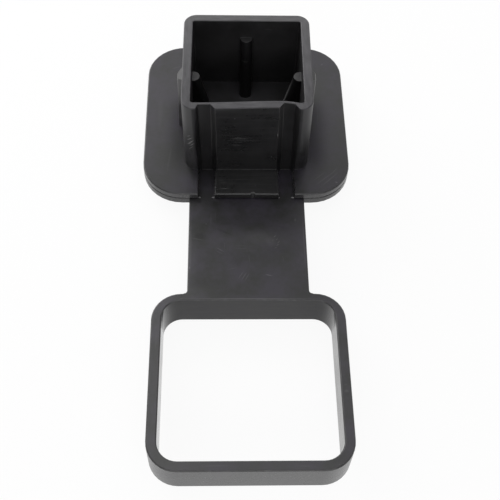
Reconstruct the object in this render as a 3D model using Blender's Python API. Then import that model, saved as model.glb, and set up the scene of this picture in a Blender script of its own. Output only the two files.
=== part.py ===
"""Rubber cover for a two-inch hitch receiver, moulded in one piece.

A square hollow stem plugs into the receiver tube and a face plate closes its mouth. The plate's
lower layer runs on as a flat strap, flush with the top of a rounded-square ring that slips over
the receiver tube as a tether. The ring is deeper than the strap, so it reaches below the plate.

Frame: the origin is at the middle of the stem, on the plate's outer face. +Z runs up the stem,
-Y runs along the strap to the ring, and the part is symmetric left and right of X = 0. Set down,
the cover leans a few degrees, on the plate's rear edge and the near edge of the ring's foot.
"""
import math

import bmesh
import bpy
from mathutils import Matrix, Vector

MM = 0.001

# Face plate, moulded in two layers that meet at the parting line round its edge
PLATE_WIDTH = 83.8 * MM
PLATE_REAR_LIP = 18.4 * MM
PLATE_FRONT_LIP = 12.4 * MM
PLATE_CORNER = 16.0 * MM
LOWER_LAYER = 3.3 * MM
UPPER_LAYER = 2.9 * MM
PARTING_GROOVE_DEPTH = 0.45 * MM
PARTING_GROOVE_WIDTH = 0.6 * MM
EDGE_BREAK = 0.4 * MM

# Hollow stem that plugs into the receiver tube
STEM_SIDE = 50.0 * MM
STEM_RISE = 36.5 * MM
STEM_WALL = 3.5 * MM
STEM_CORNER = 5.0 * MM
STEM_INNER_CORNER = 0.9 * MM
STEM_FLOOR_RISE = 1.4 * MM
RIM_BREAK = 0.25 * MM

# The two channels that leave the front wall thin, and the troughs that carry them out through
# the plate's upper layer
CHANNEL_PITCH = 31.8 * MM
CHANNEL_MOUTH = 7.6 * MM
CHANNEL_FLOOR = 4.2 * MM
CHANNEL_DEPTH = 2.3 * MM
TROUGH_MOUTH = 6.7 * MM
TROUGH_FLOOR = 5.8 * MM

# Round-nosed buttresses inside the left, right and rear walls, and crush ribs outside the left
# and right walls, whose tops stand level with each other below the rim
RIB_DROP = 8.9 * MM
BUTTRESS_WIDTH = 5.0 * MM
BUTTRESS_TOP_REACH = 2.9 * MM
BUTTRESS_FOOT_REACH = 9.3 * MM
CRUSH_RIB_ROOT = 7.8 * MM
CRUSH_RIB_FACE = 3.4 * MM
CRUSH_RIB_PROUD = 2.4 * MM

# Strap, as thick as the plate's lower layer that it continues
STRAP_WIDTH = 46.0 * MM
STRAP_LENGTH = 43.8 * MM
STRAP_FILLET = 1.4 * MM
STRAP_EDGE_BREAK = 0.3 * MM

# Ring that slips over the receiver tube
RING_OPENING_WIDTH = 64.5 * MM
RING_OPENING_LENGTH = 61.9 * MM
RING_BAR = 3.8 * MM
RING_STRAP_BAR = 3.1 * MM
RING_HEIGHT = 15.4 * MM
RING_CORNER = 11.0 * MM

# How far a piece is sunk into the one that it is moulded to, and a cutter stands clear of it
ROOT = 1.0 * MM
OVERSHOOT = 2.0 * MM

# Facets: one corner of an outline, a buttress's half-round nose and the strap's fillet
CORNER_STEPS = 9
NOSE_STEPS = 12
FILLET_STEPS = 6
SHARP_ANGLE = math.radians(30)

# Levels and places that follow from the sizes above
PLATE_TOP = LOWER_LAYER + UPPER_LAYER
RIM = PLATE_TOP + STEM_RISE
STEM_FLOOR = PLATE_TOP + STEM_FLOOR_RISE
STEM_ROOT = LOWER_LAYER - ROOT
RIB_TOP = RIM - RIB_DROP
STEM_HALF = STEM_SIDE / 2
CAVITY_HALF = STEM_HALF - STEM_WALL
CHANNEL_BACK = -STEM_HALF + CHANNEL_DEPTH
TROUGH_START = (CHANNEL_BACK - CAVITY_HALF) / 2
PLATE_FRONT = -STEM_HALF - PLATE_FRONT_LIP
PLATE_REAR = STEM_HALF + PLATE_REAR_LIP
RING_NEAR = PLATE_FRONT - STRAP_LENGTH
RING_FOOT = LOWER_LAYER - RING_HEIGHT
OPENING_NEAR = RING_NEAR - RING_STRAP_BAR
OPENING_FAR = OPENING_NEAR - RING_OPENING_LENGTH
RING_FAR = OPENING_FAR - RING_BAR


def clear_scene():
    """Remove what the file opens with."""
    for item in list(bpy.data.objects):
        bpy.data.objects.remove(item, do_unlink=True)


def rounded_rectangle(half_width, front, rear, radius):
    """Outline in plan, counter-clockwise, symmetric about X = 0, as (x, y) pairs."""
    centres = (
        (half_width - radius, rear - radius, 0),
        (radius - half_width, rear - radius, 90),
        (radius - half_width, front + radius, 180),
        (half_width - radius, front + radius, 270),
    )
    outline = []
    for x, y, start in centres:
        for step in range(CORNER_STEPS + 1):
            angle = math.radians(start + 90 * step / CORNER_STEPS)
            outline.append((x + radius * math.cos(angle), y + radius * math.sin(angle)))
    return outline


def at_level(outline, z):
    """A plan outline lifted to a height."""
    return [Vector((x, y, z)) for x, y in outline]


def loft(name, rings, closed=False):
    """A solid through rings of equally many points, capped at its ends unless it closes."""
    bm = bmesh.new()
    loops = [[bm.verts.new(point) for point in ring] for ring in rings]
    pairs = list(zip(loops, loops[1:]))
    if closed:
        pairs.append((loops[-1], loops[0]))
    else:
        bm.faces.new(loops[0])
        bm.faces.new(loops[-1])
    for lower, upper in pairs:
        count = len(lower)
        for i in range(count):
            j = (i + 1) % count
            bm.faces.new((lower[i], lower[j], upper[j], upper[i]))
    bmesh.ops.recalc_face_normals(bm, faces=bm.faces)
    mesh = bpy.data.meshes.new(name)
    bm.to_mesh(mesh)
    bm.free()
    solid = bpy.data.objects.new(name, mesh)
    bpy.context.scene.collection.objects.link(solid)
    return solid


def combine(body, tool, operation):
    """Join a solid to the body, or cut it out of the body, and keep the tool as a guide."""
    modifier = body.modifiers.new(tool.name, "BOOLEAN")
    modifier.operation = operation
    modifier.solver = "EXACT"
    modifier.object = tool
    tool.hide_render = True
    tool.display_type = "WIRE"


def build_plate():
    """The face plate, with broken edges and the parting groove at the seam of its layers."""
    half_groove = PARTING_GROOVE_WIDTH / 2
    profile = (
        (0, EDGE_BREAK),
        (EDGE_BREAK, 0),
        (LOWER_LAYER - half_groove, 0),
        (LOWER_LAYER, PARTING_GROOVE_DEPTH),
        (LOWER_LAYER + half_groove, 0),
        (PLATE_TOP - EDGE_BREAK, 0),
        (PLATE_TOP, EDGE_BREAK),
    )
    rings = []
    for z, inset in profile:
        outline = rounded_rectangle(
            PLATE_WIDTH / 2 - inset, PLATE_FRONT + inset, PLATE_REAR - inset, PLATE_CORNER - inset
        )
        rings.append(at_level(outline, z))
    return loft("face_plate", rings)


def build_trough(side):
    """Cutter for one trough: from behind the channel, out through the plate's front edge."""
    centre = side * CHANNEL_PITCH / 2
    flare = (TROUGH_MOUTH - TROUGH_FLOOR) / 2 / UPPER_LAYER
    top = PLATE_TOP + OVERSHOOT
    half_floor = TROUGH_FLOOR / 2
    half_top = half_floor + flare * (top - LOWER_LAYER)
    rings = []
    for y in (TROUGH_START, PLATE_FRONT - OVERSHOOT):
        ring = [
            Vector((centre - half_floor, y, LOWER_LAYER)),
            Vector((centre + half_floor, y, LOWER_LAYER)),
            Vector((centre + half_top, y, top)),
            Vector((centre - half_top, y, top)),
        ]
        rings.append(ring)
    return loft(f"trough_{'left' if side < 0 else 'right'}", rings)


def build_channel(side):
    """Cutter for one channel up the outside of the front wall, from the stem's root to the rim."""
    centre = side * CHANNEL_PITCH / 2
    flare = (CHANNEL_MOUTH - CHANNEL_FLOOR) / 2 / CHANNEL_DEPTH
    half_floor = CHANNEL_FLOOR / 2
    half_outer = CHANNEL_MOUTH / 2 + flare * OVERSHOOT
    outer = -STEM_HALF - OVERSHOOT
    section = (
        (centre - half_outer, outer),
        (centre + half_outer, outer),
        (centre + half_floor, CHANNEL_BACK),
        (centre - half_floor, CHANNEL_BACK),
    )
    rings = [at_level(section, z) for z in (STEM_ROOT - OVERSHOOT, RIM + OVERSHOOT)]
    return loft(f"channel_{'left' if side < 0 else 'right'}", rings)


def build_cavity():
    """Cutter for the hollow of the stem, which breaks the rim's inner edge."""
    rings = []
    for z, grow in ((STEM_FLOOR, 0), (RIM - RIM_BREAK, 0), (RIM, RIM_BREAK), (RIM + OVERSHOOT, RIM_BREAK)):
        half = CAVITY_HALF + grow
        rings.append(at_level(rounded_rectangle(half, -half, half, STEM_INNER_CORNER + grow), z))
    return loft("stem_cavity", rings)


def buttress_section(reach):
    """Plan of a buttress on the rear wall: straight flanks and a half-round nose."""
    radius = BUTTRESS_WIDTH / 2
    wall = CAVITY_HALF + ROOT
    nose = CAVITY_HALF - reach + radius
    section = [(radius, wall), (-radius, wall)]
    for step in range(NOSE_STEPS + 1):
        angle = math.pi + math.pi * step / NOSE_STEPS
        section.append((radius * math.cos(angle), nose + radius * math.sin(angle)))
    return section


def build_buttress(name, turn):
    """A buttress that leans from the wall towards the middle of the floor."""
    lean = (BUTTRESS_FOOT_REACH - BUTTRESS_TOP_REACH) / (RIB_TOP - STEM_FLOOR)
    rings = []
    for z in (STEM_FLOOR - ROOT, RIB_TOP):
        reach = BUTTRESS_TOP_REACH + lean * (RIB_TOP - z)
        rings.append(at_level(buttress_section(reach), z))
    buttress = loft(name, rings)
    buttress.data.transform(Matrix.Rotation(turn, 4, "Z"))
    return buttress


def build_crush_rib(side):
    """A rib with sloping flanks up the outside of the left or right wall."""
    flare = (CRUSH_RIB_ROOT - CRUSH_RIB_FACE) / 2 / CRUSH_RIB_PROUD
    half_face = CRUSH_RIB_FACE / 2
    half_root = CRUSH_RIB_ROOT / 2 + flare * ROOT
    section = (
        (side * (STEM_HALF - ROOT), -half_root),
        (side * (STEM_HALF + CRUSH_RIB_PROUD), -half_face),
        (side * (STEM_HALF + CRUSH_RIB_PROUD), half_face),
        (side * (STEM_HALF - ROOT), half_root),
    )
    rings = [at_level(section, z) for z in (PLATE_TOP - ROOT, RIB_TOP)]
    return loft(f"crush_rib_{'left' if side < 0 else 'right'}", rings)


def build_stem():
    """The hollow stem, with its channels, buttresses and crush ribs."""
    rings = []
    for z, inset in ((STEM_ROOT, 0), (RIM - RIM_BREAK, 0), (RIM, RIM_BREAK)):
        half = STEM_HALF - inset
        rings.append(at_level(rounded_rectangle(half, -half, half, STEM_CORNER - inset), z))
    stem = loft("stem", rings)
    for side in (-1, 1):
        combine(stem, build_channel(side), "DIFFERENCE")
    combine(stem, build_cavity(), "DIFFERENCE")
    for name, degrees in (("rear", 0), ("left", 90), ("right", -90)):
        combine(stem, build_buttress(f"buttress_{name}", math.radians(degrees)), "UNION")
    for side in (-1, 1):
        combine(stem, build_crush_rib(side), "UNION")
    return stem


def strap_half_width(y):
    """Half the strap's width, which widens in a fillet where it meets the ring."""
    gap = min(max(y - RING_NEAR, 0), STRAP_FILLET)
    sweep = math.sqrt(STRAP_FILLET ** 2 - (STRAP_FILLET - gap) ** 2)
    return STRAP_WIDTH / 2 + STRAP_FILLET - sweep


def strap_section(y):
    """The strap's section at a place along Y, with broken edges."""
    half = strap_half_width(y)
    corners = (
        (STRAP_EDGE_BREAK - half, 0),
        (half - STRAP_EDGE_BREAK, 0),
        (half, STRAP_EDGE_BREAK),
        (half, LOWER_LAYER - STRAP_EDGE_BREAK),
        (half - STRAP_EDGE_BREAK, LOWER_LAYER),
        (STRAP_EDGE_BREAK - half, LOWER_LAYER),
        (-half, LOWER_LAYER - STRAP_EDGE_BREAK),
        (-half, STRAP_EDGE_BREAK),
    )
    return [Vector((x, y, z)) for x, z in corners]


def build_strap():
    """The strap, rooted in the plate's lower layer and in the ring's near bar."""
    places = [PLATE_FRONT + PLATE_FRONT_LIP / 2, RING_NEAR + STRAP_FILLET]
    for step in range(1, FILLET_STEPS + 1):
        angle = math.pi / 2 * step / FILLET_STEPS
        places.append(RING_NEAR + STRAP_FILLET * (1 - math.sin(angle)))
    places.append(RING_NEAR - RING_STRAP_BAR / 2)
    return loft("strap", [strap_section(y) for y in places])


def build_ring():
    """The ring: a rounded-square collar with broken edges, thinner where the strap joins."""
    levels = (
        (RING_FOOT, EDGE_BREAK),
        (RING_FOOT + EDGE_BREAK, 0),
        (LOWER_LAYER - EDGE_BREAK, 0),
        (LOWER_LAYER, EDGE_BREAK),
    )
    half_opening = RING_OPENING_WIDTH / 2
    half_ring = half_opening + RING_BAR
    rings = []
    for z, inset in levels:
        outline = rounded_rectangle(
            half_ring - inset, RING_FAR + inset, RING_NEAR - inset, RING_CORNER - inset
        )
        rings.append(at_level(outline, z))
    for z, inset in reversed(levels):
        outline = rounded_rectangle(
            half_opening + inset, OPENING_FAR - inset, OPENING_NEAR + inset, RING_CORNER - RING_BAR + inset
        )
        rings.append(at_level(outline, z))
    return loft("ring", rings, closed=True)


def build_rubber():
    """Near-black moulded rubber with a dull sheen."""
    rubber = bpy.data.materials.new("black_rubber")
    rubber.use_nodes = True
    shader = rubber.node_tree.nodes["Principled BSDF"]
    shader.inputs["Base Color"].default_value = (0.035, 0.034, 0.037, 1)
    shader.inputs["Roughness"].default_value = 0.55
    shader.inputs["Metallic"].default_value = 0
    return rubber


def build_cover():
    """The whole moulding as one solid, its guides removed once they have done their work."""
    plate = build_plate()
    for side in (-1, 1):
        combine(plate, build_trough(side), "DIFFERENCE")
    for piece in (build_strap(), build_ring(), build_stem()):
        combine(plate, piece, "UNION")
    view = bpy.context.evaluated_depsgraph_get()
    mesh = bpy.data.meshes.new_from_object(plate.evaluated_get(view))
    clear_scene()
    mesh.name = "hitch_receiver_cover"
    mesh.shade_smooth()
    mesh.set_sharp_from_angle(angle=SHARP_ANGLE)
    mesh.materials.clear()
    mesh.materials.append(build_rubber())
    cover = bpy.data.objects.new("hitch_receiver_cover", mesh)
    bpy.context.scene.collection.objects.link(cover)


clear_scene()
build_cover()
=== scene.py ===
# %% [markdown]
# A hitch receiver cover is one black rubber moulding: a face plate, a hollow square stem that plugs
# into the receiver, and a flat strap that ends in a ring, which keeps the cover on the tube when
# the stem is pulled out. This script dresses the solid that the frame already holds. Nothing is
# resized: it adds the camera, the light, the small untruths of a real moulding, the fine roundings,
# four vent nibs and the rubber's finish.

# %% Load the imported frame
import math
import bmesh
import bpy
from mathutils import Matrix, Vector


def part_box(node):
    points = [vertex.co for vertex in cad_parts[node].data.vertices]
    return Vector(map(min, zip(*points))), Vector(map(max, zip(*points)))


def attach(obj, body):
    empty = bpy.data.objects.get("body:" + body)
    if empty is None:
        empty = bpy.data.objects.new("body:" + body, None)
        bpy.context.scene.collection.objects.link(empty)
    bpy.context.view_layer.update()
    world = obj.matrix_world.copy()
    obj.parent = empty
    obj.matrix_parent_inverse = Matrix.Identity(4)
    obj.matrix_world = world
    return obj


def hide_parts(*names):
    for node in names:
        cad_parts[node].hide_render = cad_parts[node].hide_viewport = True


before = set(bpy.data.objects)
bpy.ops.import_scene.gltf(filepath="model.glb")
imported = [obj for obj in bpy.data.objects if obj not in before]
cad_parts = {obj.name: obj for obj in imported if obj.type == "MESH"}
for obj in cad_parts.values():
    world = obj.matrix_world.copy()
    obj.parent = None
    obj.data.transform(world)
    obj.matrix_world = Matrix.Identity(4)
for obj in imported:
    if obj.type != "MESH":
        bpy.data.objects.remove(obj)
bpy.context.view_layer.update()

MM = 0.001
NODE = "hitch_receiver_cover"
node_low, node_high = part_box(NODE)
node_size = [round((high - low) / MM, 1) for low, high in zip(node_low, node_high)]
print("the moulding measures", node_size, "mm")

# %% [markdown]
# The camera looks down on the cover from the strap's end, turned a little to the right and rolled a
# little. Its place, tilt and focal length come from matching a pinhole camera to the photograph's
# edges, so they are written as real angles and millimetres. The image is taken as 500 pixels
# square.

# %% Place the camera
IMAGE_WIDTH = 500
FOCAL_PIXELS = 915.8
SENSOR_WIDTH = 36.0
NEAREST_SEEN = 10 * MM
CAMERA_PLACE = Vector((-9.43, -252.9, 301.5)) * MM
CAMERA_PITCH = math.radians(57.33)
CAMERA_YAW = math.radians(3.10)
CAMERA_ROLL = math.radians(2.62)


def camera_axes(pitch, yaw, roll):
    """The camera's right, up and back directions for a downward pitch, a yaw and a roll."""
    ahead = Vector((math.sin(yaw) * math.cos(pitch), math.cos(yaw) * math.cos(pitch),
                    -math.sin(pitch)))
    level = ahead.cross(Vector((0, 0, 1))).normalized()
    above = level.cross(ahead)
    right = level * math.cos(roll) + above * math.sin(roll)
    up = above * math.cos(roll) - level * math.sin(roll)
    return right, up, -ahead


def add_camera():
    lens = bpy.data.cameras.new("photo_camera")
    lens.sensor_width = SENSOR_WIDTH
    lens.lens = FOCAL_PIXELS / IMAGE_WIDTH * SENSOR_WIDTH
    lens.clip_start = NEAREST_SEEN
    camera = bpy.data.objects.new("photo_camera", lens)
    bpy.context.scene.collection.objects.link(camera)
    pose = Matrix(camera_axes(CAMERA_PITCH, CAMERA_YAW, CAMERA_ROLL)).transposed().to_4x4()
    pose.translation = CAMERA_PLACE
    camera.matrix_world = pose
    bpy.context.scene.camera = camera
    return camera


camera = add_camera()
print("the lens is", round(camera.data.lens, 1), "mm")

# %% [markdown]
# Shader maths reads best as sums. This class wraps one socket, so that mask * 0.3 + 0.1 adds its
# Math nodes by itself, and add() makes any other node from its type, its settings and its sockets.

# %% Write shader maths as sums


class Wire:
    """One output socket of a material's nodes, which can be used in a sum."""

    def __init__(self, tree, socket=None):
        self.tree = tree
        self.socket = socket

    def plug(self, target, value):
        """Link a wire to a socket, or write a plain value on it."""
        if isinstance(value, Wire):
            self.tree.links.new(value.socket, target)
        else:
            target.default_value = value

    def add(self, kind, settings=None, sockets=None, output=0):
        """Add a node: its type, its settings, and the values or wires of its sockets."""
        node = self.tree.nodes.new(kind)
        for name, value in (settings or {}).items():
            setattr(node, name, value)
        for name, value in (sockets or {}).items():
            self.plug(node.inputs[name], value)
        return Wire(self.tree, node.outputs[output])

    def maths(self, operation, first, second=0.0):
        return self.add("ShaderNodeMath", {"operation": operation}, {0: first, 1: second})

    def __add__(self, other):
        return self.maths("ADD", self, other)

    def __sub__(self, other):
        return self.maths("SUBTRACT", self, other)

    def __rsub__(self, other):
        return self.maths("SUBTRACT", other, self)

    def __mul__(self, other):
        return self.maths("MULTIPLY", self, other)

    __radd__ = __add__
    __rmul__ = __mul__

    def larger(self, other):
        return self.maths("MAXIMUM", self, other)


def new_material(name):
    """A material with its shader, and a wire that adds nodes to it."""
    material = bpy.data.materials.new(name)
    material.use_nodes = True
    return material, material.node_tree.nodes["Principled BSDF"], Wire(material.node_tree)


print("shader sums are ready")

# %% [markdown]
# The photograph's background is pure white. A floor bright enough to clip would also flood the
# rubber with light, so the floor stays a pale grey that keeps the object's shadow, and only camera,
# mirror and see-through rays meet the white glow mixed into it. Far from the cover it sweeps up
# like a photographer's paper roll, so that low views end in white too. The ring is deeper than the
# strap, so the cover comes to rest on the plate's rear edge and the near edge of the ring's foot.
# The cover keeps its own frame here, and it is the floor that is laid through those two edges.

# %% Lay the white floor
FLOOR_SWEEP = [
    (1.6, 0.0), (1.8, 0.02), (1.95, 0.08), (2.06, 0.18), (2.13, 0.32), (2.17, 0.5), (2.18, 0.8),
]
FLOOR_SIDES = 64
FLOOR_DROP = 0.1 * MM
FLOOR_COLOUR = (0.9, 0.9, 0.9, 1)
FLOOR_ROUGHNESS = 0.9
GLOW_SHARE = 0.92
LEVEL_SLACK = 0.01 * MM


def rearmost_at(points, z):
    """The rearmost Y of the points at one height."""
    return max(point.y for point in points if abs(point.z - z) < LEVEL_SLACK)


corners = [vertex.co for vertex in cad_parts[NODE].data.vertices]
heel = Vector((0, rearmost_at(corners, 0), 0))
ring_foot = Vector((0, rearmost_at(corners, node_low[2]), node_low[2]))
lean = math.atan2(heel.z - ring_foot.z, heel.y - ring_foot.y)
print("the floor leans", round(math.degrees(lean), 2), "degrees under the cover")


def swept_floor_mesh():
    """A round floor whose edge sweeps up, as rings of points joined by faces."""
    work = bmesh.new()
    turns = [2 * math.pi * side / FLOOR_SIDES for side in range(FLOOR_SIDES)]
    rings = [[work.verts.new((radius * math.cos(turn), radius * math.sin(turn), height))
              for turn in turns] for radius, height in FLOOR_SWEEP]
    work.faces.new(rings[0])
    for inner, outer in zip(rings, rings[1:]):
        for side in range(FLOOR_SIDES):
            after = (side + 1) % FLOOR_SIDES
            work.faces.new((inner[side], outer[side], outer[after], inner[after]))
    mesh = bpy.data.meshes.new("white_floor")
    work.to_mesh(mesh)
    work.free()
    return mesh


def add_floor():
    floor = bpy.data.objects.new("white_floor", swept_floor_mesh())
    bpy.context.scene.collection.objects.link(floor)
    above = Vector((0, -math.sin(lean), math.cos(lean)))
    floor.location = (heel + ring_foot) / 2 - above * FLOOR_DROP
    floor.rotation_euler = (lean, 0, 0)
    material, shader, make = new_material("white_floor")
    shader.inputs["Base Color"].default_value = FLOOR_COLOUR
    shader.inputs["Roughness"].default_value = FLOOR_ROUGHNESS
    shader.inputs["Specular IOR Level"].default_value = 0.0
    seen = make.add("ShaderNodeLightPath", output="Is Camera Ray")
    mirrored = make.add("ShaderNodeLightPath", output="Is Glossy Ray")
    through = make.add("ShaderNodeLightPath", output="Is Transmission Ray")
    glow = make.add("ShaderNodeEmission", sockets={"Color": (1, 1, 1, 1), "Strength": 1.0})
    share = seen.larger(mirrored).larger(through) * GLOW_SHARE
    lit = Wire(material.node_tree, shader.outputs["BSDF"])
    mixed = make.add("ShaderNodeMixShader", sockets={0: share, 1: lit, 2: glow})
    make.plug(material.node_tree.nodes["Material Output"].inputs["Surface"], mixed)
    floor.data.materials.append(material)


add_floor()
print("the floor is", round(2 * FLOOR_SWEEP[-1][0], 2), "m across")

# %% [markdown]
# The room is plain white, with four softboxes. One hangs over the cover and one stands behind it,
# and together they give the flat rubber its sheen. A brighter one, far back on the left, makes the
# left lobe and wall lighter than the right ones, and a long low one in front fills the faces that
# look towards the camera. All face the middle of the cover. A single lamp would leave half of the
# edges black, and a brighter room would wash the sheen away.

# %% Light the room
ROOM_STRENGTH = 0.35
SOFTBOXES = {
    "overhead_softbox": dict(place=(0.0, -0.05, 0.75), width=0.6, depth=0.6, brightness=1.25),
    "rear_softbox": dict(place=(0.0, 0.58, 0.47), width=0.9, depth=0.6, brightness=1.25),
    "left_softbox": dict(place=(-0.55, 0.5, 0.4), width=0.65, depth=0.65, brightness=3.6),
    "front_softbox": dict(place=(0.0, -0.85, 0.35), width=1.0, depth=0.4, brightness=1.6),
}


def add_softbox(name, place, width, depth, brightness):
    """A rectangular lamp of an even brightness that faces the middle of the cover."""
    lamp = bpy.data.lights.new(name, "AREA")
    lamp.shape = "RECTANGLE"
    lamp.size = width
    lamp.size_y = depth
    lamp.energy = math.pi * width * depth * brightness
    softbox = bpy.data.objects.new(name, lamp)
    softbox.location = place
    middle = (node_low + node_high) / 2
    softbox.rotation_euler = (middle - softbox.location).to_track_quat("-Z", "Y").to_euler()
    bpy.context.scene.collection.objects.link(softbox)
    print(name, "gives", round(lamp.energy, 1), "W")


def light_the_room():
    world = bpy.data.worlds.new("white_room")
    world.use_nodes = True
    background = world.node_tree.nodes["Background"]
    background.inputs["Color"].default_value = (1, 1, 1, 1)
    background.inputs["Strength"].default_value = ROOM_STRENGTH
    bpy.context.scene.world = world
    bpy.context.scene.view_settings.view_transform = "Standard"


light_the_room()
for name, settings in SOFTBOXES.items():
    add_softbox(name, **settings)

# %% [markdown]
# The real moulding has no knife edges: the mould leaves small radii that catch a thin line of
# light. They could be bevelled by hand, but a Bevel modifier on the welded solid rounds them all
# alike, and weighted normals keep the large faces flat between the rounds. The solid's flat faces
# are made whole first, so that the modifier follows the real edges only.

# %% Weld the solid into one clean mesh
WELD = 0.001 * MM
FLAT_ANGLE = math.radians(0.5)
AXES = {"x": Vector((1, 0, 0)), "y": Vector((0, 1, 0)), "z": Vector((0, 0, 1))}


def welded_work(node_name):
    """A work mesh of the solid, with its doubled points joined and its flat faces made whole."""
    work = bmesh.new()
    work.from_mesh(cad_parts[node_name].data)
    bmesh.ops.remove_doubles(work, verts=work.verts, dist=WELD)
    bmesh.ops.dissolve_limit(work, angle_limit=FLAT_ANGLE, verts=work.verts, edges=work.edges)
    return work


def slice_faces(work, axis, places, inside):
    """Cut the faces whose middle lies inside, at each of these places along an axis."""
    for place in places:
        faces = [face for face in work.faces if inside(face.calc_center_median())]
        edges = {edge for face in faces for edge in face.edges}
        points = {point for face in faces for point in face.verts}
        bmesh.ops.bisect_plane(work, geom=[*faces, *edges, *points], dist=WELD,
                               plane_co=AXES[axis] * place, plane_no=AXES[axis])


work = welded_work(NODE)
RIM = node_high.z
rim_faces = [face for face in work.faces if face.calc_center_median().z > RIM - WELD]
bmesh.ops.triangulate(work, faces=rim_faces)
print("the welded solid has", len(work.faces), "faces")

# %% [markdown]
# The real stem isn't as true as its drawing. The front wall, thinned by its two channels, has drawn
# in as the rubber cooled, by nearly a millimetre at the rim beside the right channel and by nothing
# at the corners and the foot. A lattice could bend it, but a formula for each point says more
# exactly how far. The wall is sliced into a grid first, so that it bends smoothly.

# %% Draw in the front wall
SLACK = 0.1 * MM
PLATE_TOP = 6.2 * MM
STEM_FRONT = -25.0 * MM
WALL_BACK = -20.6 * MM
WALL_END = 21.5 * MM
GRID_ACROSS = 1.5 * MM
GRID_UP = 4.0 * MM
BOW_DEPTH = 0.95 * MM
BOW_PEAK = 13.5 * MM
BOW_FOOT = 9.0 * MM
BOW_SIDE_POWER = 1.1
BOW_HEIGHT_POWER = 1.4


def in_front_wall(point):
    return abs(point.x) < WALL_END + SLACK and STEM_FRONT - SLACK < point.y < WALL_BACK \
        and point.z > PLATE_TOP + SLACK


def drawn_in(x, z):
    """How far the front wall has moved inwards at one place."""
    if x < BOW_PEAK:
        share = max(0.0, (x + WALL_END) / (BOW_PEAK + WALL_END)) ** BOW_SIDE_POWER
    else:
        share = max(0.0, (WALL_END - x) / (WALL_END - BOW_PEAK))
    height = max(0.0, (z - BOW_FOOT) / (RIM - BOW_FOOT))
    return BOW_DEPTH * (1 - math.cos(math.pi * share)) / 2 * height ** BOW_HEIGHT_POWER


def bend_front_wall(work):
    slice_faces(work, "x", [step * GRID_ACROSS for step in range(-14, 15)], in_front_wall)
    slice_faces(work, "z", [step * GRID_UP for step in range(3, 11)], in_front_wall)
    moved = 0
    for point in work.verts:
        if in_front_wall(point.co) and drawn_in(point.co.x, point.co.z) > 0:
            point.co.y += drawn_in(point.co.x, point.co.z)
            moved += 1
    return moved


print("the wall draws in by up to", round(drawn_in(BOW_PEAK, RIM) / MM, 2), "mm")

# %% [markdown]
# The real part is untrue in two more ways: the stem leans to the left by under half a millimetre
# where its mouth faces the strap, and the left channel is cut a little wider on its outer side than
# the right one. The lobes beside the channels also have round noses, not sharp ones, and the tops
# of the two crush ribs slope down and outwards, which eases them into the receiver.

# %% Lean the stem and ease its lobes
STRAP_TOP = 3.3 * MM
PAD_FRONT = -37.4 * MM
STEM_HALF = 25.0 * MM
RIB_REACH = 2.5 * MM
SWAY = 0.42 * MM
NOSE_EDGE = 19.7 * MM
NOSE_NEXT = 20.0 * MM
NOSE_EASE = {NOSE_EDGE: 0.23 * MM, NOSE_NEXT: 0.10 * MM}
NOSE_BACK = -24.6 * MM
FLANK_START = 18.1 * MM
FLANK_BACK = -22.8 * MM
FLANK_SLICE = -24.4 * MM
CHANNEL_FLOOR_CORNER = Vector((-18.0, -22.7)) * MM
CHANNEL_WIDENING = 0.7 * MM
TROUGH_WALL = (-19.3 * MM, -18.6 * MM)
TROUGH_WIDENING = 0.4 * MM
RIB_SHOULDER = 1.9 * MM
RIB_ROOM = 5 * MM
RIBS_END = RIM - 4 * MM
NEAR = 0.12 * MM


def in_lobe_flank(point):
    return FLANK_START < abs(point.x) < NOSE_EDGE and STEM_FRONT < point.y < FLANK_BACK \
        and point.z > PLATE_TOP


def ease_noses(work):
    slice_faces(work, "y", [FLANK_SLICE], in_lobe_flank)
    moved = 0
    for point in work.verts:
        for edge, ease in NOSE_EASE.items():
            on_nose = point.co.y < NOSE_BACK and point.co.z > PLATE_TOP - WELD
            if on_nose and abs(abs(point.co.x) - edge) < NEAR:
                point.co.y += ease
                moved += 1
                break
    return moved


def widen_left_channel(work):
    for point in work.verts:
        here = point.co.to_2d()
        if (here - CHANNEL_FLOOR_CORNER).length < NEAR and point.co.z > PLATE_TOP - WELD:
            point.co.x -= CHANNEL_WIDENING
        elif TROUGH_WALL[0] < here.x < TROUGH_WALL[1] and PAD_FRONT - NEAR < here.y < FLANK_BACK \
                and STRAP_TOP - WELD < point.co.z < PLATE_TOP + WELD:
            point.co.x -= TROUGH_WIDENING


def lean_stem(work):
    for point in work.verts:
        x, y, z = point.co
        if abs(x) < STEM_HALF + RIB_REACH and abs(y) < STEM_HALF + WELD and z > PLATE_TOP:
            height = (z - PLATE_TOP) / (RIM - PLATE_TOP)
            towards_strap = (STEM_HALF - y) / (2 * STEM_HALF)
            point.co.x -= SWAY * height * towards_strap


def slope_rib_tops(work):
    """Raise the foot of each crush rib's top, so that the top slopes down and outwards."""
    moved = 0
    for point in work.verts:
        on_wall = abs(abs(point.co.x) - STEM_HALF) < NEAR and abs(point.co.y) < RIB_ROOM
        if on_wall and PLATE_TOP + NEAR < point.co.z < RIBS_END:
            point.co.z += RIB_SHOULDER
            moved += 1
    return moved


print(ease_noses(work), "points of the lobes eased")
print(slope_rib_tops(work), "points of the crush ribs' tops raised")
widen_left_channel(work)
print(bend_front_wall(work), "points of the front wall moved")
lean_stem(work)

# %% [markdown]
# Where the pad between the troughs ends there is a small nick, as if a bit of flash had been pulled
# off there. Two slices each side of it leave points that can be pushed back.

# %% Nick the pad's front edge
NICK_MIDDLE = 2.35 * MM
NICK_HALF = 0.95 * MM
NICK_FLOOR_HALF = 0.45 * MM
NICK_DEPTH = 0.7 * MM
NICK_REACH = 0.6 * MM
NICK_FOOT = 5.0 * MM
PAD_HALF = 12 * MM
PAD_SLICED = 6 * MM


def in_pad_front(point):
    return abs(point.x) < PAD_HALF and PAD_FRONT - SLACK < point.y < PAD_FRONT + PAD_SLICED \
        and point.z > STRAP_TOP + SLACK


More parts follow.
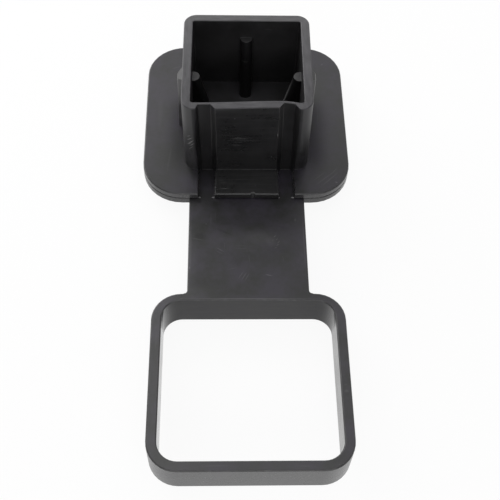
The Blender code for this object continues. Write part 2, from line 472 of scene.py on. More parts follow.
def nick_pad(work):
    offsets = (-NICK_HALF, -NICK_FLOOR_HALF, NICK_FLOOR_HALF, NICK_HALF)
    slice_faces(work, "x", [NICK_MIDDLE + offset for offset in offsets], in_pad_front)
    moved = 0
    for point in work.verts:
        near = abs(point.co.x - NICK_MIDDLE) < NICK_FLOOR_HALF + WELD
        if near and point.co.y < PAD_FRONT + NICK_REACH and point.co.z > NICK_FOOT:
            point.co.y += NICK_DEPTH
            moved += 1
    return moved


print(nick_pad(work), "points of the pad's front edge moved")

# %% [markdown]
# The two crush ribs squeeze against the receiver's wall, so their long outer edges are rounded more
# than the rest of the moulding. A bevel of those few edges, done on the work mesh, gives them their
# own radius and leaves the modifier to round everything else.

# %% Round the crush ribs
RIB_FACE = STEM_HALF + 1.2 * MM
RIB_HALF = 3 * MM
RIB_ROUND = 0.45 * MM
RIB_EDGE_ANGLE = math.radians(20)


def on_rib_face(point):
    return abs(point.x) > RIB_FACE and PLATE_TOP < point.z < RIBS_END and abs(point.y) < RIB_HALF


def round_ribs(work):
    edges = [edge for edge in work.edges if all(on_rib_face(point.co) for point in edge.verts)
             and len(edge.link_faces) == 2 and edge.calc_face_angle() > RIB_EDGE_ANGLE]
    bmesh.ops.bevel(work, geom=edges, offset=RIB_ROUND, segments=3, profile=0.5, affect="EDGES")
    return len(edges)


print(round_ribs(work), "edges of the crush ribs rounded")

# %% [markdown]
# The work mesh now becomes the piece that is seen. Its roundings come from the modifiers, so they
# Each face also gets the number of a finish here, chosen by where it lies, because a mould's
# polished steel, its rough steel and the trimmer's knife leave different surfaces, and because some
# finishes carry painted light: painted shade in the channels, a painted reflection on the outer
# edges and a painted highlight on the chamfers. The floor of the hollow shares the finish of the
# stem's outside, the buttresses' bodies share the channels' painted shade, and the side walls of
# the troughs share that of the outer edges.

# %% Make the moulding
EDGE_RADIUS = 0.11 * MM
EDGE_ANGLE = math.radians(25)
FINISHES = ["level_rubber", "stem_rubber", "edge_rubber", "ring_rubber", "hollow_rubber",
            "panel_rubber", "channel_rubber", "trimmed_rim", "worn_highlit_edge"]
CAVITY_HALF = 21.6 * MM
WALL_INSIDE = 21.3 * MM
BUTTRESS_TOP = 33.7 * MM
BUTTRESS_ROOM = 3.6 * MM
HOLLOW_FOOT = 10 * MM
PANEL_HALF = 12.3 * MM
CHANNEL_END = 19.75 * MM
RING_START = -84.2 * MM
RIM_BREAK = 0.4 * MM
RIM_SLACK = 0.05 * MM
LEVEL_ENOUGH = 0.97
SLOPING = 0.3
FACING_UP = 0.9
FACING_REAR = 0.5
FACING_SIDE = 0.7
RING_MIDDLE = Vector((0, -115.25, -4.4)) * MM


def hollow_finish(middle, normal):
    """The finish of a face inside the hollow, which has a dull floor and buttresses in painted
    shade.
    """
    if middle.z < HOLLOW_FOOT and normal.z > FACING_UP:
        return "stem_rubber"
    on_side_one = abs(middle.x) < WALL_INSIDE and abs(middle.y) < BUTTRESS_ROOM
    on_rear_one = abs(middle.x) < BUTTRESS_ROOM and middle.y < WALL_INSIDE
    on_buttress = (on_side_one or on_rear_one) and middle.z < BUTTRESS_TOP
    # The buttresses' bodies take the channels' dark finish as painted shade.
    return "channel_rubber" if on_buttress else "hollow_rubber"


def channel_finish(middle, normal):
    """The finish of the front wall, pad or trough's side; the wall's back is in the hollow."""
    if normal.y > FACING_REAR:
        return "hollow_rubber"
    if middle.z < PLATE_TOP and abs(normal.x) > FACING_SIDE:
        return "edge_rubber"
    return "panel_rubber" if abs(middle.x) < PANEL_HALF else "channel_rubber"


def finish_of(face):
    """The finish that the mould or the trimmer left on a face, from where the face lies."""
    middle, normal = face.calc_center_median(), face.normal
    across = abs(middle.x)
    on_rim_break = middle.z > RIM - RIM_BREAK and SLOPING < normal.z < LEVEL_ENOUGH
    if middle.z > RIM - RIM_SLACK or on_rim_break:
        return "trimmed_rim"
    if across < CAVITY_HALF and WALL_BACK < middle.y < CAVITY_HALF and middle.z > PLATE_TOP:
        return hollow_finish(middle, normal)
    in_front = PAD_FRONT - SLACK < middle.y < WALL_BACK and middle.z > STRAP_TOP + SLACK
    if across < CHANNEL_END and in_front:
        return channel_finish(middle, normal)
    if abs(normal.z) > LEVEL_ENOUGH:
        return "level_rubber"
    if middle.z > PLATE_TOP:
        return "worn_highlit_edge" if across > RIB_FACE else "stem_rubber"
    if abs(normal.z) > SLOPING:
        return "worn_highlit_edge"
    faces_inwards = normal.dot(RING_MIDDLE - middle) > 0
    return "ring_rubber" if middle.y < RING_START and faces_inwards else "edge_rubber"


def add_moulding(work):
    for face in work.faces:
        face.material_index = FINISHES.index(finish_of(face))
    mesh = bpy.data.meshes.new("moulded_cover")
    work.to_mesh(mesh)
    work.free()
    mesh.shade_smooth()
    piece = bpy.data.objects.new("moulded_cover", mesh)
    bpy.context.scene.collection.objects.link(piece)
    rounds = piece.modifiers.new("edge_rounds", "BEVEL")
    rounds.width = EDGE_RADIUS
    rounds.segments = 2
    rounds.limit_method = "ANGLE"
    rounds.angle_limit = EDGE_ANGLE
    rounds.use_clamp_overlap = False
    even = piece.modifiers.new("even_shading", "WEIGHTED_NORMAL")
    even.keep_sharp = False
    even.weight = 100
    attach(piece, "root")
    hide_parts(NODE)
    return piece


moulding = add_moulding(work)
counts = [0] * len(FINISHES)
for face in moulding.data.polygons:
    counts[face.material_index] += 1
print("faces by finish:", dict(zip(FINISHES, counts)))

# %% [markdown]
# Black rubber is never quite black. All its finishes share two things: a fine grain, too small to
# see one by one, that dulls the sheen, and clouds some millimetres wide where release agent or
# bloom makes it a little browner or bluer. One class makes both, and each finish then adds its own
# marks.

# %% Write the shared rubber
GRAIN_SCALE = 2600.0
GRAIN_DEPTH = 0.02 * MM
CLOUD_SCALE = 95.0
CLOUD_TINT = 3.2
CLOUD_DULLNESS = 0.2
FLECK_SCALE = 520.0
FLECK_DULLNESS = 0.08


def centred_noise(make, place, scale, detail=2.0):
    """Noise about zero, from roughly -0.5 to 0.5; scale is how many waves fit in a metre."""
    sockets = {"Vector": place, "Scale": scale, "Detail": detail}
    return make.add("ShaderNodeTexNoise", sockets=sockets) - 0.5


def stretched(make, place, scale):
    """The place multiplied axis by axis, so that a noise on it runs into streaks."""
    return make.add("ShaderNodeVectorMath", {"operation": "MULTIPLY"}, {0: place, 1: scale})


def mix_colours(make, share, first, second, settings=None):
    """A Mix node for colours: its colour sockets have the numbers 6 and 7, and its result has 2."""
    return make.add("ShaderNodeMix", {"data_type": "RGBA", **(settings or {})},
                    {0: share, 6: first, 7: second}, output=2)


class Rubber:
    """One finish of the rubber, gathered part by part and then written on its shader."""

    def __init__(self, name, dark, light, roughness, grain):
        self.material, self.shader, self.make = new_material(name)
        self.place = self.make.add("ShaderNodeTexCoord", output="Object")
        self.dark = dark
        self.light = light
        self.grain = grain
        cloud = centred_noise(self.make, self.place, CLOUD_SCALE, detail=3.0)
        fleck = centred_noise(self.make, self.place, FLECK_SCALE)
        self.bloom = cloud * CLOUD_TINT + fleck + 0.5
        self.roughness = cloud * CLOUD_DULLNESS + fleck * FLECK_DULLNESS + roughness
        self.lift = None
        self.axis = {letter: self.along(letter) for letter in "XYZ"}

    def along(self, letter):
        """How far along one axis each point lies."""
        return self.make.add("ShaderNodeSeparateXYZ", sockets={0: self.place}, output=letter)

    def add_lift(self, amount):
        """Lighten the rubber by this much colour where the wire is above zero."""
        self.lift = amount if self.lift is None else self.lift + amount

    def step(self, letter, start, end, amount):
        """A value that goes smoothly from 0 to an amount between two places, in millimetres."""
        return self.make.add("ShaderNodeMapRange", {"interpolation_type": "SMOOTHSTEP"},
                             {"Value": self.axis[letter],
                              "From Min": start * MM, "From Max": end * MM,
                              "To Min": 0.0, "To Max": amount})

    def between(self, letter, rise, fall):
        """1 in a band across an axis, fading in over the range rise and out over the range fall."""
        return self.step(letter, *rise, 1.0) - self.step(letter, *fall, 1.0)

    def streaks(self, scale, detail=3.0):
        """Noise with its own scale on each axis, so that it runs into streaks."""
        return centred_noise(self.make, stretched(self.make, self.place, scale), 1.0, detail)

    def finish(self):
        make = self.make
        colour = mix_colours(make, self.bloom, self.dark, self.light)
        if self.lift is not None:
            tint = make.add("ShaderNodeCombineColor",
                            sockets={channel: self.lift for channel in ("Red", "Green", "Blue")})
            adding = {"blend_type": "ADD", "clamp_result": True}
            colour = mix_colours(make, 1.0, colour, tint, adding)
        make.plug(self.shader.inputs["Base Color"], colour)
        make.plug(self.shader.inputs["Roughness"], self.roughness)
        fine = centred_noise(make, self.place, GRAIN_SCALE, detail=1.0)
        bump = make.add("ShaderNodeBump", sockets={"Height": fine, "Strength": self.grain,
                                                   "Distance": GRAIN_DEPTH})
        make.plug(self.shader.inputs["Normal"], bump)
        return self.material


print("the grain has", GRAIN_SCALE * MM, "waves in a millimetre")

# %% [markdown]
# A scuff or scratch is a soft oval: long and thin for a scratch, round for a rub. Painting them by
# hand would need an image, so each is written as a row of numbers instead: its middle, half its
# length and width, its turn and how much lighter it makes the rubber. A number below zero makes it
# darker.

# %% Write scuffs and scratches
THROUGH = 4.0 * MM
MARK_CORE = 0.2


def mark(make, place, middle, half_sizes, turn):
    """A mask that is 1 in the middle of a turned oval and fades to 0 at its edge."""
    local = make.add("ShaderNodeMapping", {"vector_type": "TEXTURE"},
                     {"Vector": place, "Location": middle, "Rotation": turn, "Scale": half_sizes})
    away = make.add("ShaderNodeVectorMath", {"operation": "LENGTH"}, {0: local}, output="Value")
    return make.add("ShaderNodeMapRange", {"interpolation_type": "SMOOTHSTEP"},
                    {"Value": away, "From Min": 1.0, "From Max": MARK_CORE,
                     "To Min": 0.0, "To Max": 1.0})


def level_marks(rubber, height, rows):
    """Marks on a level face, turned about the upright axis; lengths in millimetres."""
    for x, y, half_length, half_width, turn, strength in rows:
        shape = mark(rubber.make, rubber.place, Vector((x * MM, y * MM, height)),
                     Vector((half_length * MM, half_width * MM, THROUGH)),
                     (0, 0, math.radians(turn)))
        rubber.add_lift(shape * strength)


def upright_marks(rubber, depth, rows):
    """Marks on a face that looks towards the strap, turned in that face."""
    for x, z, half_length, half_width, turn, strength in rows:
        shape = mark(rubber.make, rubber.place, Vector((x * MM, depth, z * MM)),
                     Vector((half_length * MM, THROUGH, half_width * MM)),
                     (0, math.radians(-turn), 0))
        rubber.add_lift(shape * strength)


print("a mark reaches", THROUGH / MM, "mm through the rubber")

# %% [markdown]
# The plate's top, the strap and the ring's top come from a ground mould face: dull, faintly
# clouded, with the rubs and scratches of a part that has lain in a bin with others. Among these
# marks are painted light and shade: painted highlights along the strap's side edges and the inner
# top edge of the ring's rear bar, a painted light across the strap and over the ring's front bar,
# and a painted shade where the strap meets the plate. The ring's top is a little paler than the
# strap, most of all on the left. The plate is a little darker, more so at its rear, and beside the
# stem a painted shade darkens it further; it is duller there too. Soft steps from place to place
# say this in a few numbers, where a painted map would need an image.

# %% Finish the level faces
# Scratches and rubs. The broad soft rows are painted light across the middle of the strap and along
# its sides, and the thin rows at x = -22.3 and 22.0 are painted highlights on its side edges.
STRAP_SCRATCHES_AND_PAINTED_LIGHT = [
    (4.5, -56.0, 7.5, 4.0, 0, 0.0099), (9.0, -58.0, 3.0, 2.6, -40, 0.0088),
    (10.7, -55.6, 0.9, 0.18, 50, 0.066), (11.4, -57.0, 0.8, 0.18, 50, 0.044),
    (12.1, -58.3, 1.0, 0.18, 48, 0.055), (11.7, -59.6, 0.9, 0.18, 42, 0.044),
    (10.9, -60.9, 0.8, 0.16, 30, 0.0396), (9.9, -57.4, 0.5, 0.16, 80, 0.044),
    (-2.7, -73.2, 2.6, 0.2, 58, 0.0262), (-1.5, -73.7, 2.6, 0.2, 60, 0.0284),
    (-0.4, -74.1, 2.4, 0.2, 62, 0.024), (7.9, -73.3, 1.9, 0.28, -14, 0.044),
    (0.0, -57.5, 22.0, 8.0, 0, 0.010), (-22.5, -68.0, 4.0, 22.0, 0, 0.011),
    (22.5, -62.0, 4.0, 20.0, 0, 0.004), (-10.6, -61.8, 2.3, 0.2, -33, 0.0308),
    (-11.0, -63.0, 2.0, 0.16, -30, 0.022), (-3.2, -60.0, 4.0, 0.16, 2, 0.0132),
    (-2.8, -61.2, 4.4, 0.16, -3, 0.0132), (0.4, -62.4, 3.6, 0.16, 4, 0.011),
    (-14.3, -47.5, 0.22, 4.4, 0, 0.0132), (-12.6, -46.0, 0.18, 3.4, 0, 0.011),
    (-9.0, -60.0, 0.18, 2.2, 0, 0.0132), (19.0, -47.8, 1.0, 0.6, 80, 0.0198),
    (-16.2, -49.8, 0.3, 0.3, 0, 0.0352), (-19.5, -56.9, 3.2, 0.4, -12, 0.0132),
    (0.6, -66.0, 0.2, 2.6, 6, 0.0132), (13.6, -66.0, 0.2, 2.0, 8, 0.011),
    (-6.0, -70.4, 2.2, 0.18, 14, 0.0154), (-22.3, -62.0, 0.9, 19.0, 0, 0.022),
    (22.0, -58.0, 0.3, 17.0, 0, 0.0176), (-22.3, -70.0, 0.4, 0.7, 0, 0.044),
]
# Dark smudges. The first row is a painted shade where the strap meets the plate.
STRAP_SMUDGES_AND_PAINTED_SHADE = [
    (0.0, -39.5, 25.0, 4.0, 0, -0.005), (-18.3, -55.6, 3.2, 2.2, 0, -0.009),
    (-9.0, -53.6, 4.6, 0.8, -27, -0.006), (-9.5, -59.6, 2.4, 2.4, 0, -0.004),
    (12.0, -61.5, 6.5, 2.6, 4, -0.004), (-4.0, -67.5, 4.0, 2.2, -20, -0.003),
    (14.0, -51.5, 4.0, 0.8, -16, -0.004),
]
PLATE_MARKS = [
    (31.5, -29.5, 6.0, 0.35, 42, 0.018), (33.6, -29.9, 6.4, 0.35, 44, 0.021),
    (29.4, -28.4, 5.0, 0.3, 42, 0.015), (35.4, -26.0, 4.0, 0.3, 50, 0.018),
    (36.2, -31.4, 0.9, 0.3, -30, 0.06), (34.0, 33.4, 1.1, 0.25, 48, 0.04),
    (-31.5, -20.0, 0.6, 9.0, -6, 0.008), (-36.0, 5.0, 1.4, 12.0, 0, 0.006),
    (30.5, 4.0, 0.3, 12.0, -2, 0.008), (-30.0, 31.0, 3.0, 0.3, 20, 0.016),
    (3.0, 35.0, 5.0, 0.3, -8, 0.016), (-12.0, 38.5, 3.0, 0.3, 12, 0.012),
]
# The first row is a painted highlight on the inner top edge of the ring's rear bar, and the second
# a painted light over the front bar. The rest are scratches.
RING_SCRATCHES_AND_PAINTED_LIGHT = [
    (0.0, -83.65, 31.0, 0.26, 0, 0.05), (0.0, -148.6, 42.0, 4.0, 0, 0.006),
    (-33.8, -101.0, 0.35, 5.0, 0, 0.012), (34.1, -121.0, 1.2, 0.8, 0, 0.02),
    (34.0, -118.6, 0.9, 0.2, 30, 0.024), (-12.0, -148.0, 6.0, 0.3, 1, 0.012),
    (18.0, -148.3, 4.0, 0.25, -2, 0.012), (-26.0, -84.0, 3.0, 0.3, 30, 0.016),
]
RING_BLEND = (-81.0, -87.0)
RING_PALER = 0.0135
STRAP_END = (-77.0, -80.0)
LEFT_PART = (-6.0, -32.0)
LEFT_PALER = 0.019
PLATE_LEVEL = (4.5, 5.5)
PLATE_DARKER = 0.0028
PLATE_REAR = (18.0, 32.0)
REAR_DARKER = 0.003
BESIDE_STEM = ((-36.0, -27.0), (27.0, 36.0))
ALONG_STEM = ((-32.0, -16.0), (4.0, 20.0))
# Painted shade on the plate beside the stem. BY_STEM_DULLER only makes it duller there.
BY_STEM_PAINTED_SHADE = 0.006
BY_STEM_DULLER = 0.23


def level_rubber():
    rubber = Rubber("level_rubber", dark=(0.0068, 0.0070, 0.0066, 1),
                    light=(0.0180, 0.0150, 0.0235, 1), roughness=0.42, grain=0.5)
    # The strap and ring rows hold painted highlights, painted light and a painted shade among the
    # scratches.
    level_marks(rubber, STRAP_TOP, STRAP_SCRATCHES_AND_PAINTED_LIGHT + STRAP_SMUDGES_AND_PAINTED_SHADE + RING_SCRATCHES_AND_PAINTED_LIGHT)
    level_marks(rubber, PLATE_TOP, PLATE_MARKS)
    rubber.add_lift(rubber.step("Y", *RING_BLEND, RING_PALER))
    rubber.add_lift(rubber.step("Y", *STRAP_END, 1.0) * rubber.step("X", *LEFT_PART, LEFT_PALER))
    on_plate = rubber.step("Z", *PLATE_LEVEL, 1.0)
    by_stem = rubber.between("X", *BESIDE_STEM) * rubber.between("Y", *ALONG_STEM)
    at_rear = rubber.step("Y", *PLATE_REAR, REAR_DARKER)
    # Painted shade beside the stem, with the plate darker overall and towards its rear.
    rubber.add_lift(on_plate * (by_stem * -BY_STEM_PAINTED_SHADE - at_rear - PLATE_DARKER))
    rubber.roughness = rubber.roughness + on_plate * by_stem * BY_STEM_DULLER
    return rubber.finish()


print(len(STRAP_SCRATCHES_AND_PAINTED_LIGHT) + len(PLATE_MARKS) + len(RING_SCRATCHES_AND_PAINTED_LIGHT), "light marks on the level faces")

# %% [markdown]
# The outside of the stem is about as dull as the level faces. The lobes carry fine drag scratches
# from the times the cover was pushed in and pulled out. Carving them would need a much finer mesh,
# so they are rows of thin ovals, as on the strap. Three broad rows are painted light and shade
# instead: a painted shade down the left lobe's nose and over the whole right lobe, and a painted
# light on the lower left lobe.

# %% Finish the outside of the stem
# The first row is a painted shade down the left lobe's nose. The row at x = -22.6, z = 10 is a
# painted light on the lower left lobe, and the row at x = 22.6, z = 26 is a painted shade over the
# right lobe. The rest are drag scratches and smudges.
LOBE_SCRATCHES_AND_PAINTED_SHADING = [
    (-20.0, 25.0, 0.8, 18.0, 0, -0.012), (-22.6, 24.6, 2.2, 0.19, 50, 0.18),
    (-22.0, 23.2, 2.3, 0.19, 50, 0.18), (-22.8, 21.7, 2.2, 0.19, 50, 0.16),
    (-21.7, 21.6, 2.2, 0.19, 50, 0.14), (-22.9, 26.2, 1.6, 0.19, 48, 0.12),
    (-22.2, 19.4, 2.0, 0.19, 55, 0.11), (-22.6, 10.0, 3.4, 16.0, 0, 0.014),
    (-22.8, 14.5, 0.7, 2.0, 12, -0.014), (-22.0, 17.6, 0.9, 0.5, 30, -0.012),
    (22.6, 26.0, 3.4, 26.0, 0, -0.011), (21.6, 22.0, 0.3, 9.0, 3, 0.012),
    (22.4, 27.0, 1.6, 1.0, -30, -0.006),
]


def stem_rubber():
    rubber = Rubber("stem_rubber", dark=(0.0085, 0.0085, 0.0087, 1),
                    light=(0.0175, 0.0165, 0.0195, 1), roughness=0.46, grain=0.4)
    upright_marks(rubber, STEM_FRONT, LOBE_SCRATCHES_AND_PAINTED_SHADING)
    return rubber.finish()


print(len(LOBE_SCRATCHES_AND_PAINTED_SHADING), "marks on the lobes")

# %% [markdown]
# The plate's edge and the outside of the ring slid along polished steel as the part left the mould.
# They are smoother than the level faces, and their pale colour is a painted reflection of the white
# floor, paler still on the plate's edge. Faint streaks run along them. A noise with ten times as
# many waves upright as lengthways draws these without an image. The chamfers between faces and the
# outer faces of the crush ribs get a finish of their own: a paler colour that is a painted
# highlight along the edges, with rubs of wear on it.

# %% Finish the outer edges
EDGE_STREAKS = (70.0, 70.0, 700.0)
STREAK_DULLNESS = 0.14
STREAK_PALER = 0.03
PLATE_END = (-70.0, -50.0)
PLATE_EDGE_PAINTED_REFLECTION = 0.010
RUB_SCALE = 300.0
RUB_PALER = 0.12


def edge_rubber():
    # The pale base colour is a painted reflection of the white floor.
    rubber = Rubber("edge_rubber", dark=(0.022, 0.0215, 0.0225, 1),
                    light=(0.046, 0.0445, 0.047, 1), roughness=0.27, grain=0.12)
    streaks = rubber.streaks(EDGE_STREAKS)
    rubber.roughness = rubber.roughness + streaks * STREAK_DULLNESS
    # The step along Y paints the plate's edge paler still, as more painted reflection.
    rubber.add_lift(streaks * STREAK_PALER + rubber.step("Y", *PLATE_END, PLATE_EDGE_PAINTED_REFLECTION))
    return rubber.finish()


def worn_highlit_edge():
    """The chamfers and the outer faces of the crush ribs: a painted highlight along the edges, with
    rubs of wear.
    """
    # The pale base colour is a painted highlight. The rubs below are wear.
    rubber = Rubber("worn_highlit_edge", dark=(0.026, 0.0255, 0.0265, 1),
                    light=(0.040, 0.0390, 0.041, 1), roughness=0.34, grain=0.2)
    rubs = centred_noise(rubber.make, rubber.place, RUB_SCALE, detail=3.0)
    rubber.add_lift(rubs.larger(0.0) * RUB_PALER)
    return rubber.finish()


print("the outer edges' finish is ready")

# %% [markdown]
# Inside the ring the walls are the smoothest of all. At a glancing angle they mirror the white
# floor, which is why the two side walls look pale. The left one is a little smoother than the right
# one, and the wall beside the strap is much duller than the others. Each wall could have a finish
# of its own, but soft steps in one finish leave no seam at the rounded corners.

# %% Finish the ring's inner walls
DULL_WALL = (-88.0, -84.3)
DULL_WALL_DULLER = 0.36
LEFT_WALL = (-30.0, -32.0)
LEFT_WALL_SMOOTHER = 0.05
WALL_STREAKS = (90.0, 90.0, 700.0)
WALL_STREAK_DULLNESS = 0.1


def ring_rubber():
    rubber = Rubber("ring_rubber", dark=(0.009, 0.009, 0.0095, 1),
                    light=(0.016, 0.0155, 0.018, 1), roughness=0.17, grain=0.3)
    dull = rubber.step("Y", *DULL_WALL, DULL_WALL_DULLER)
    glossy = rubber.step("X", *LEFT_WALL, LEFT_WALL_SMOOTHER)
    streaks = rubber.streaks(WALL_STREAKS)
    rubber.roughness = rubber.roughness + dull - glossy + streaks * WALL_STREAK_DULLNESS
    rubber.add_lift(streaks * STREAK_PALER)
    return rubber.finish()


print("the wall beside the strap gets duller over", round(DULL_WALL[1] - DULL_WALL[0], 1), "mm")

# %% [markdown]
# The hollow of the stem is the mould core's side: plain, dark and hard to see into. Its walls get a
# little darker towards the rim, which is painted shade. Less light would darken the rim as well, so
# one soft step along the height darkens only the walls.

# %% Finish the hollow
UPPER_WALLS = (26.0, 41.0)
UPPER_PAINTED_SHADE = 0.010
HOLLOW_MARKS = [
    (8.6, 38.3, 1.9, 0.25, 0, 0.03), (10.0, 37.9, 0.6, 0.2, 0, 0.03),
    (14.5, 25.0, 0.3, 0.3, 0, 0.02),
]


def hollow_rubber():
    rubber = Rubber("hollow_rubber", dark=(0.022, 0.0216, 0.0224, 1),
                    light=(0.032, 0.0315, 0.033, 1), roughness=0.45, grain=0.5)
    # Painted shade on the upper walls of the hollow.
    rubber.add_lift(rubber.step("Z", *UPPER_WALLS, -UPPER_PAINTED_SHADE))
    upright_marks(rubber, CAVITY_HALF, HOLLOW_MARKS)
    return rubber.finish()


print(len(HOLLOW_MARKS), "marks inside the hollow")

# %% [markdown]
# The panel between the channels and the pad below it carry the tool's fine cross lines, which were
# left in the steel. A noise stretched across the panel gives such lines, and a few rubs break them
# up. The thin light lines along the panel's side edges, the pad's side and front edges and the fold
# between panel and pad are painted highlights.

# %% Finish the panel and the pad
# Rubs and specks. The thin upright rows at x = -12.2 and 11.7 to 11.9 are painted highlights along
# the panel's side edges.
PANEL_RUBS_AND_HIGHLIGHTS = [
    (-5.1, 37.0, 0.4, 0.35, 0, 0.09), (-3.0, 25.4, 4.6, 1.0, 2, 0.020),
    (-4.2, 25.9, 2.4, 0.28, 8, 0.036), (-4.2, 21.6, 2.8, 0.5, -2, 0.028),
    (-3.6, 23.4, 3.4, 0.28, 4, 0.022), (0.0, 24.2, 7.0, 0.4, 0, 0.010),
    (11.7, 27.4, 0.35, 1.3, 0, 0.12), (11.8, 30.4, 0.2, 5.4, 0, 0.034),
    (11.9, 13.0, 0.2, 5.0, 0, 0.014), (-12.2, 24.0, 0.35, 16.0, 0, 0.022),
    (-8.0, 19.6, 2.4, 0.2, 0, 0.012), (8.0, 25.4, 3.0, 0.2, 0, 0.012),
]
# Rubs. The rows at x = -12.2 and 11.9 and those along y = -25.7 and -37.0 are painted highlights on
# the pad's edges and its fold with the panel.
PAD_RUBS_AND_HIGHLIGHTS = [
    (-4.0, -30.2, 8.0, 0.22, 1, 0.024), (-10.4, -30.4, 1.9, 0.24, 0, 0.036),
    (-8.8, -34.6, 2.8, 0.28, 1, 0.040), (-9.6, -31.6, 2.3, 0.2, 0, 0.026),
    (1.0, -28.0, 9.0, 0.2, -1, 0.014), (3.4, -33.0, 0.4, 0.3, 0, 0.030),
    (0.0, -25.7, 11.5, 0.3, 0, 0.010), (-12.2, -31.0, 0.2, 5.0, 0, 0.0144),
    (11.9, -31.0, 0.2, 5.0, 0, 0.0108), (0.0, -37.0, 12.0, 0.3, 0, 0.010),
]
TOOL_LINES = (45.0, 1100.0, 1100.0)
LINE_DULLNESS = 0.2
LINE_PALER = 0.03
PAD_START = (-25.0, -27.0)
PAD_PALER = 0.004


def panel_rubber():
    rubber = Rubber("panel_rubber", dark=(0.0098, 0.0098, 0.0102, 1),
                    light=(0.0135, 0.0132, 0.0140, 1), roughness=0.31, grain=0.4)
    lines = rubber.streaks(TOOL_LINES)
    rubber.roughness = rubber.roughness + lines * LINE_DULLNESS
    rubber.add_lift(lines.larger(0.0) * LINE_PALER + rubber.step("Y", *PAD_START, PAD_PALER))
    upright_marks(rubber, STEM_FRONT, PANEL_RUBS_AND_HIGHLIGHTS)
    level_marks(rubber, PLATE_TOP, PAD_RUBS_AND_HIGHLIGHTS)
    return rubber.finish()


print(len(PANEL_RUBS_AND_HIGHLIGHTS) + len(PAD_RUBS_AND_HIGHLIGHTS), "marks on the panel and the pad")

# %% [markdown]
# The two channels down the front wall are narrow, so little light gets in. Their finish is the
# darkest one, which is painted shade, and the buttresses in the hollow share it as painted shade
# too. A painted highlight runs down the right buttress's edge, and another down a corner of the
# left channel. The rear buttress has a small ledge, of which only the lit line is marked here, as a
# painted highlight; cutting the ledge into the solid would be truer.

# %% Finish the channels and the buttresses
# The first row is a painted highlight down a corner of the left channel. The others are specks and
# lines.
CHANNEL_MARKS_AND_HIGHLIGHT = [
    (-13.9, 25.0, 0.3, 17.0, 0, 0.03), (-17.9, 18.2, 0.35, 0.35, 0, 0.07),
    (-16.0, 7.2, 3.0, 0.2, 0, 0.008),
]
# The first buttress row is a painted highlight down the right buttress's edge. The ledge row paints
# the lit line of the rear buttress's ledge.
BUTTRESS_HIGHLIGHT_MARKS = [(15.3, 20.7, 13.5, 0.24, 76.3, 0.12), (16.0, 9.0, 0.3, 0.3, 0, 0.06)]
LEDGE_HIGHLIGHT = [(-0.5, 24.9, 2.3, 0.25, 0, 0.05)]
CHANNEL_FACE = STEM_FRONT + 2 * MM
BUTTRESS_FACE = -0.5 * MM
LEDGE_FACE = 16.4 * MM


def channel_rubber():
    rubber = Rubber("channel_rubber", dark=(0.0065, 0.0065, 0.0068, 1),
                    # The darkest base colour is painted shade, on the channels and on the
                    # buttresses' bodies.
                    light=(0.0095, 0.0092, 0.0100, 1), roughness=0.35, grain=0.4)
    upright_marks(rubber, CHANNEL_FACE, CHANNEL_MARKS_AND_HIGHLIGHT)
    upright_marks(rubber, BUTTRESS_FACE, BUTTRESS_HIGHLIGHT_MARKS)
    upright_marks(rubber, LEDGE_FACE, LEDGE_HIGHLIGHT)
    return rubber.finish()


print(len(CHANNEL_MARKS_AND_HIGHLIGHT), "marks in the channels")
print(len(BUTTRESS_HIGHLIGHT_MARKS) + len(LEDGE_HIGHLIGHT), "marks on the buttresses")

# %% [markdown]
# The rim is where the excess rubber was trimmed off. The cut face is rougher, paler and faintly
# streaked along the knife's path, so it reads as a light grey line round the dark hollow, a little
# paler towards the rear. Two noises are stretched along different walls, because one alone would
# run across the knife's path on half of them.

# %% Finish the trimmed rim
ALONG_FRONT = (160.0, 900.0, 1.0)
ALONG_SIDES = (900.0, 160.0, 1.0)
KNIFE_DETAIL = 4.0
KNIFE_PALER = 0.07
RIM_LENGTH = (-24.0, 24.0)
REAR_RIM_PALER = 0.025
RIM_DARKER = 0.015


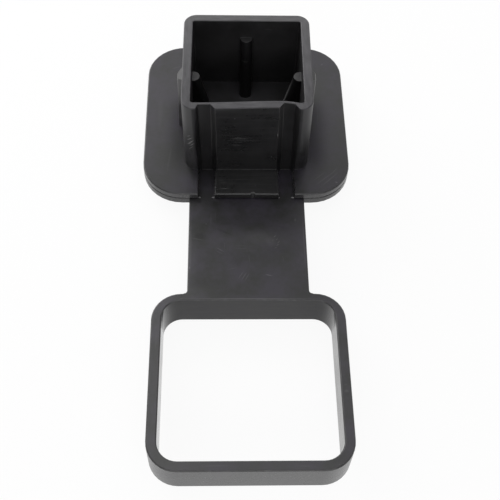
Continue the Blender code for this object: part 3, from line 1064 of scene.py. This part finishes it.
def trimmed_rim():
    rubber = Rubber("trimmed_rim", dark=(0.040, 0.0388, 0.042, 1),
                    light=(0.054, 0.0520, 0.0575, 1), roughness=0.5, grain=0.8)
    make = rubber.make
    along_front = rubber.streaks(ALONG_FRONT, KNIFE_DETAIL)
    along_sides = rubber.streaks(ALONG_SIDES, KNIFE_DETAIL)
    side = make.maths("GREATER_THAN", make.maths("ABSOLUTE", rubber.axis["X"]), CAVITY_HALF)
    rubber.add_lift((along_sides * side + along_front * (1 - side)) * KNIFE_PALER)
    rubber.add_lift(rubber.step("Y", *RIM_LENGTH, REAR_RIM_PALER) - RIM_DARKER)
    return rubber.finish()


print("the rim's streaks run along the knife's path")

# %% [markdown]
# Each face of the moulding already carries the number of its finish. That number is a place in the
# piece's list of materials, so the finishes are made and added in the order of FINISHES. Cutting
# the moulding up by finish would work too, but its edges could then not be rounded along the cuts.

# %% Put the finishes on the moulding
MAKERS = {"level_rubber": level_rubber, "stem_rubber": stem_rubber, "edge_rubber": edge_rubber,
          "ring_rubber": ring_rubber, "hollow_rubber": hollow_rubber, "panel_rubber": panel_rubber,
          "channel_rubber": channel_rubber, "trimmed_rim": trimmed_rim, "worn_highlit_edge": worn_highlit_edge}
for finish in FINISHES:
    moulding.data.materials.append(MAKERS[finish]())
print(len(moulding.data.materials), "finishes are on the moulding")

# %% [markdown]
# At the mouth of each trough two nibs of rubber stand where the mould was vented. They are less
# than half a millimetre high, but they catch the light, so they are small domes, and their pale
# colour adds a painted highlight on them.

# %% Add the vent nibs
NIBS = [(-18.9, -36.95, 0.45), (-13.3, -36.95, 0.8), (12.9, -36.95, 0.42), (18.5, -36.95, 0.8)]
NIB_DEPTH = 0.38
NIB_HEIGHT = 0.42


def add_nibs():
    work = bmesh.new()
    for x, y, half_width in NIBS:
        shape = Matrix.Translation((x * MM, y * MM, STRAP_TOP)) \
            @ Matrix.Diagonal((half_width * MM, NIB_DEPTH * MM, NIB_HEIGHT * MM, 1))
        bmesh.ops.create_uvsphere(work, u_segments=16, v_segments=10, radius=1.0, matrix=shape)
    mesh = bpy.data.meshes.new("vent_nibs")
    work.to_mesh(mesh)
    work.free()
    mesh.shade_smooth()
    piece = bpy.data.objects.new("vent_nibs", mesh)
    bpy.context.scene.collection.objects.link(piece)
    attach(piece, "root")
    # The pale colour is a painted highlight on the nibs.
    rubber = Rubber("nib_rubber", dark=(0.095, 0.093, 0.098, 1),
                    light=(0.15, 0.147, 0.154, 1), roughness=0.35, grain=0.4)
    mesh.materials.append(rubber.finish())


add_nibs()
print(len(NIBS), "nibs stand at the troughs")
